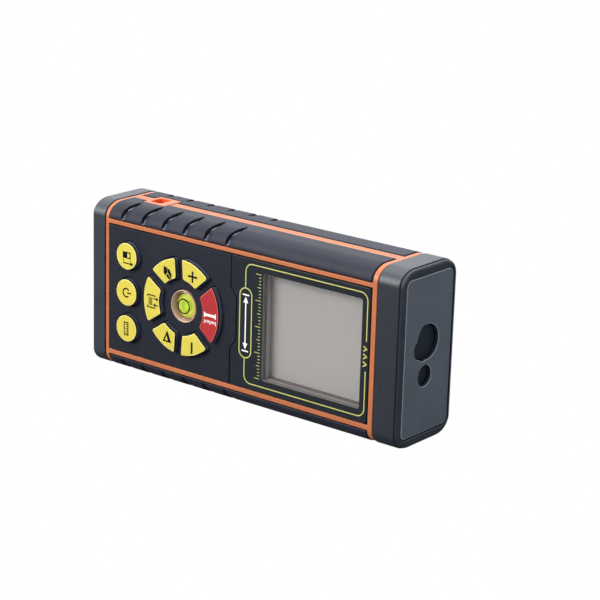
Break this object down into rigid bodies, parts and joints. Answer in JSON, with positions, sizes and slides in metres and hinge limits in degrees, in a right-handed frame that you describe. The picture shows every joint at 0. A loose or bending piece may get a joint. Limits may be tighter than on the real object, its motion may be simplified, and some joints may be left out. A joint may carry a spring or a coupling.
{
  "type": "laser distance meter",
  "caption": "Hand-held laser distance meter: dark case in an orange frame, rubber grips, key ring round a bullseye level, deep screen, laser and receiver windows in the nose, rear battery door.",
  "frame": {"origin": "bottom centre of the whole meter standing on its lower long side; Y is centred between the key tops and the back face", "axes": "+X towards the laser end, -Y out of the screen and keys, +Z towards the upper long side with the strap eyelet"},
  "size_m": [0.112, 0.0264, 0.05],
  "materials": {
    "frame_orange": "satin moulded plastic, fine grain",
    "case_navy": "satin navy-charcoal plastic, fine spark texture",
    "grip_rubber": "soft-touch rubber",
    "keypad_matt": "matt film over plastic",
    "bezel_gloss": "gloss black with a printed yellow line",
    "nose_plate_grey": "satin dark grey",
    "key_yellow": "satin yellow with dark icons",
    "key_red": "satin red with white icon",
    "clear_plastic": "clear polished acrylic",
    "lcd_grey": "grey LCD glass, switched off",
    "holder_grey": "pale grey",
    "level_green": "yellow-green level liquid",
    "bubble_green": "bright green bubble",
    "level_amber": "pale amber plastic ring",
    "board_green": "green circuit board",
    "dome_film": "film over steel domes",
    "zinc_casting": "die-cast light metal",
    "barrel_brass": "turned brass",
    "plated_steel": "plated steel",
    "lens_glass": "clear glass",
    "window_dark": "dark red filter glass",
    "part_black": "black plastic",
    "cell_sleeve": "plain printed sleeve over metal",
    "flex_amber": "amber polyimide film"
  },
  "bodies": {
    "housing": {"front_housing": "frame_orange", "rear_housing": "frame_orange", "strap_eyelet": "frame_orange", "nose_cap": "case_navy", "tail_cap": "case_navy", "back_cover": "case_navy", "grip_upper_front": "grip_rubber", "grip_upper_back": "grip_rubber", "grip_lower_front": "grip_rubber", "grip_lower_back": "grip_rubber", "keypad_panel": "keypad_matt", "display_bezel": "bezel_gloss", "display_window": "clear_plastic", "lcd_holder": "holder_grey", "lcd_panel": "lcd_grey", "lcd_flex": "flex_amber", "level_bezel": "level_amber", "level_vial": "clear_plastic", "level_liquid": "level_green", "level_seat": "part_black", "nose_plate": "nose_plate_grey", "receiver_window": "window_dark", "laser_window": "window_dark", "main_board": "board_green", "dome_sheet": "dome_film", "buzzer": "part_black", "optical_bracket": "zinc_casting", "laser_barrel": "barrel_brass", "laser_lens": "lens_glass", "receiver_lens": "lens_glass", "sensor_board": "board_green", "sensor_shield": "plated_steel", "battery_1": "cell_sleeve", "battery_2": "cell_sleeve", "battery_spring_1": "plated_steel", "battery_spring_2": "plated_steel", "contact_front": "plated_steel", "contact_plus": "plated_steel", "contact_minus": "plated_steel", "bracket_screw_1": "plated_steel", "bracket_screw_2": "plated_steel", "case_screw_1": "plated_steel", "case_screw_2": "plated_steel", "case_screw_3": "plated_steel", "case_screw_4": "plated_steel"},
    "key_measure": {"key_measure": "key_red"},
    "key_plus": {"key_plus": "key_yellow"},
    "key_area": {"key_area": "key_yellow"},
    "key_memory": {"key_memory": "key_yellow"},
    "key_indirect": {"key_indirect": "key_yellow"},
    "key_minus": {"key_minus": "key_yellow"},
    "key_reference": {"key_reference": "key_yellow"},
    "key_clear": {"key_clear": "key_yellow"},
    "key_unit": {"key_unit": "key_yellow"},
    "battery_door": {"battery_door": "case_navy"},
    "level_bubble": {"level_bubble": "bubble_green"}
  },
  "joints": [
    {"name": "press_measure", "type": "slide", "parent": "housing", "child": "key_measure", "axis": [0, 1, 0], "range_m": [0, 0.0005]},
    {"name": "press_plus", "type": "slide", "parent": "housing", "child": "key_plus", "axis": [0, 1, 0], "range_m": [0, 0.0005]},
    {"name": "press_area", "type": "slide", "parent": "housing", "child": "key_area", "axis": [0, 1, 0], "range_m": [0, 0.0005]},
    {"name": "press_memory", "type": "slide", "parent": "housing", "child": "key_memory", "axis": [0, 1, 0], "range_m": [0, 0.0005]},
    {"name": "press_indirect", "type": "slide", "parent": "housing", "child": "key_indirect", "axis": [0, 1, 0], "range_m": [0, 0.0005]},
    {"name": "press_minus", "type": "slide", "parent": "housing", "child": "key_minus", "axis": [0, 1, 0], "range_m": [0, 0.0005]},
    {"name": "press_reference", "type": "slide", "parent": "housing", "child": "key_reference", "axis": [0, 1, 0], "range_m": [0, 0.0005]},
    {"name": "press_clear", "type": "slide", "parent": "housing", "child": "key_clear", "axis": [0, 1, 0], "range_m": [0, 0.0005]},
    {"name": "press_unit", "type": "slide", "parent": "housing", "child": "key_unit", "axis": [0, 1, 0], "range_m": [0, 0.0005]},
    {"name": "door_hinge", "type": "hinge", "parent": "housing", "child": "battery_door", "pos_m": [0.0041, 0.01245, 0.025], "axis": [0, 0, -1], "range_deg": [0, 75]},
    {"name": "bubble_drift", "type": "slide", "parent": "housing", "child": "level_bubble", "axis": [1, 0, 0], "range_m": [-0.0012, 0.0012]}
  ]
}
